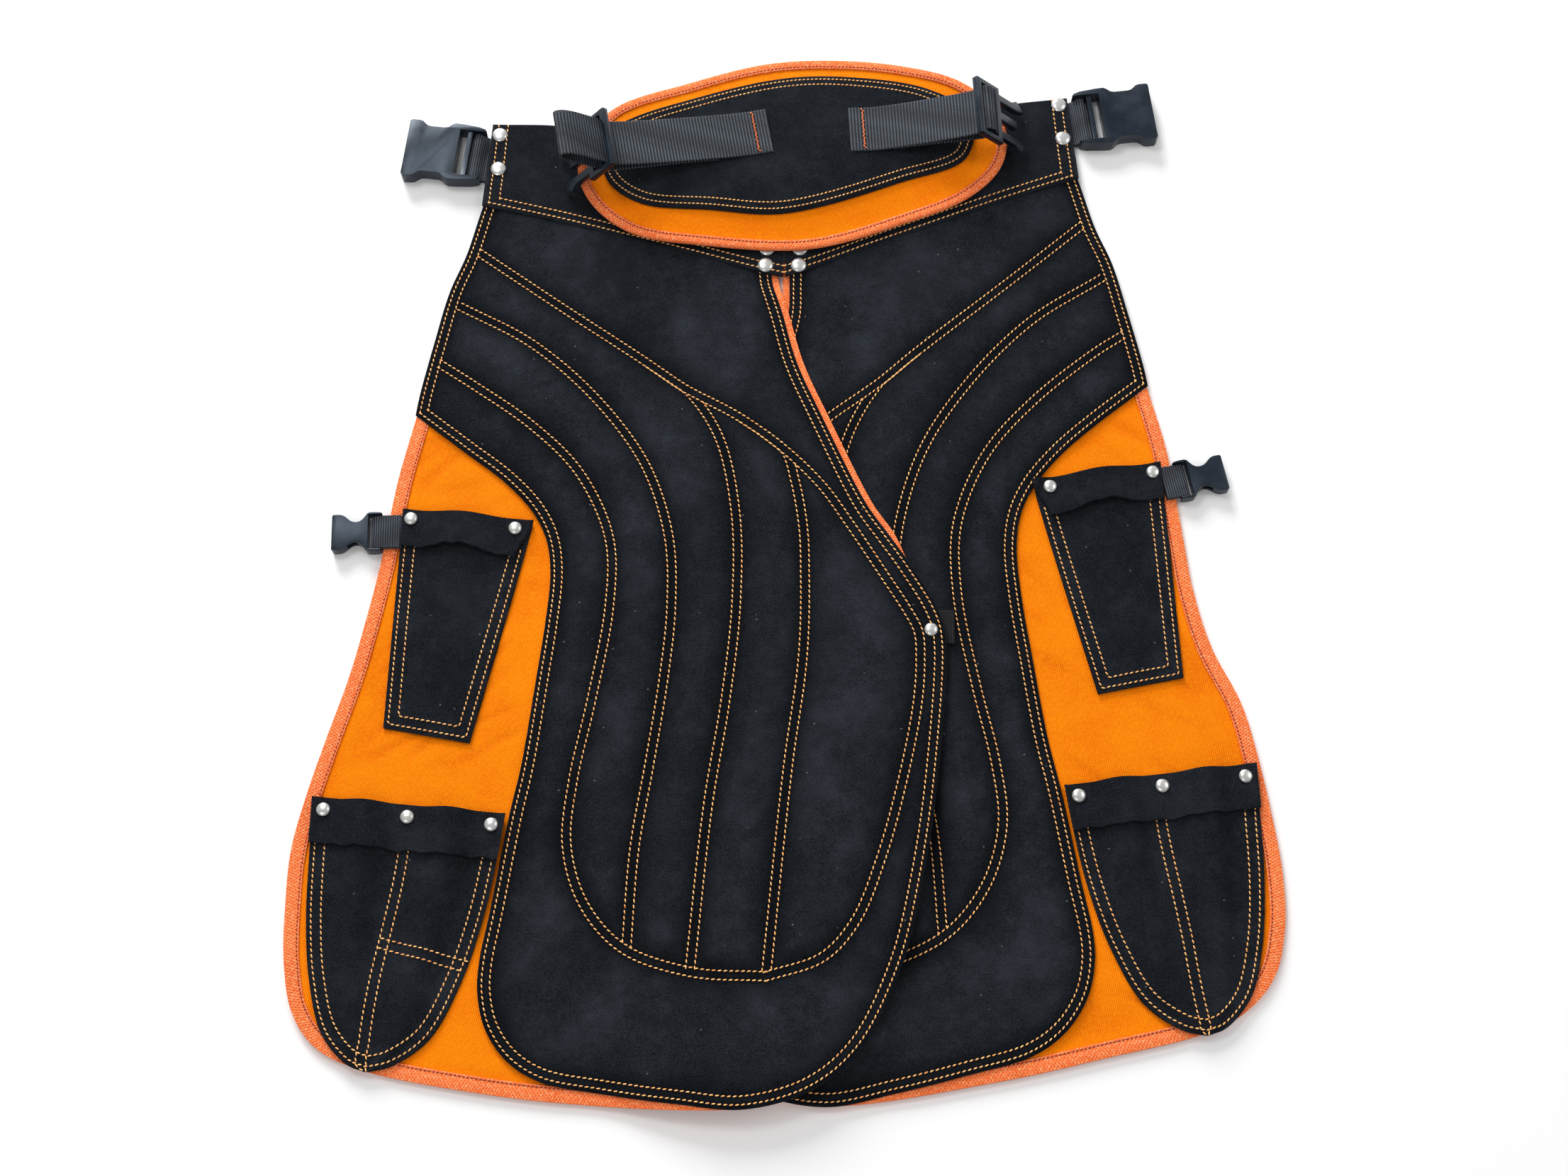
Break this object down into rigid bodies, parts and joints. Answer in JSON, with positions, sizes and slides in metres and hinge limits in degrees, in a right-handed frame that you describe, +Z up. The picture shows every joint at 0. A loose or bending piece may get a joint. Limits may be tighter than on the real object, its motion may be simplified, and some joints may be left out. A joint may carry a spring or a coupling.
{
  "type": "farrier apron",
  "caption": "Split-leg farrier apron laid flat: quilted suede legs on bound canvas, knife pockets, tool pouches, waist and thigh buckles and a padded lumbar piece on webbing straps.",
  "frame": {"origin": "on the surface the apron lies on, below the middle of its bounding box", "axes": "+X to the right as seen from above with the waist at the top, +Y from the hem to the waist, +Z up from the surface"},
  "size_m": [0.6818, 0.8034, 0.067],
  "materials": {
    "suede": "napped split suede",
    "canvas": "coated plain weave",
    "tape": "twill binding tape",
    "webbing": "ribbed webbing",
    "acetal": "satin moulded",
    "nickel": "polished nickel"
  },
  "bodies": {
    "root": {"leg_canvas_left": "canvas", "leg_binding_left": "tape", "leg_leather_left": "suede", "yoke_left": "suede", "knife_pocket_left": "suede", "knife_band_left": "suede", "tool_pouch_left": "suede", "pouch_band_left": "suede", "waist_webbing_left": "webbing", "thigh_webbing_left": "webbing", "pad_strap_left": "webbing", "waist_socket_left": "acetal", "thigh_socket_left": "acetal", "pad_plug_left": "acetal", "rivet_waist_left_upper": "nickel", "rivet_centre_left_upper": "nickel", "rivet_waist_left_lower": "nickel", "rivet_centre_left_lower": "nickel", "rivet_knife_pocket_left_1": "nickel", "rivet_knife_pocket_left_2": "nickel", "rivet_tool_pouch_left_1": "nickel", "rivet_tool_pouch_left_2": "nickel", "rivet_tool_pouch_left_3": "nickel", "leg_canvas_right": "canvas", "leg_binding_right": "tape", "leg_leather_right": "suede", "yoke_right": "suede", "knife_pocket_right": "suede", "knife_band_right": "suede", "tool_pouch_right": "suede", "pouch_band_right": "suede", "waist_webbing_right": "webbing", "thigh_webbing_right": "webbing", "pad_strap_right": "webbing", "waist_socket_right": "acetal", "thigh_socket_right": "acetal", "pad_plug_right": "acetal", "rivet_waist_right_upper": "nickel", "rivet_centre_right_upper": "nickel", "rivet_waist_right_lower": "nickel", "rivet_centre_right_lower": "nickel", "rivet_knife_pocket_right_1": "nickel", "rivet_knife_pocket_right_2": "nickel", "rivet_tool_pouch_right_1": "nickel", "rivet_tool_pouch_right_2": "nickel", "rivet_tool_pouch_right_3": "nickel", "yoke_tab": "suede", "pad_body": "canvas", "pad_binding": "tape", "pad_leather": "suede", "thigh_tab": "webbing", "rivet_thigh_inner": "nickel"}
  },
  "joints": []
}
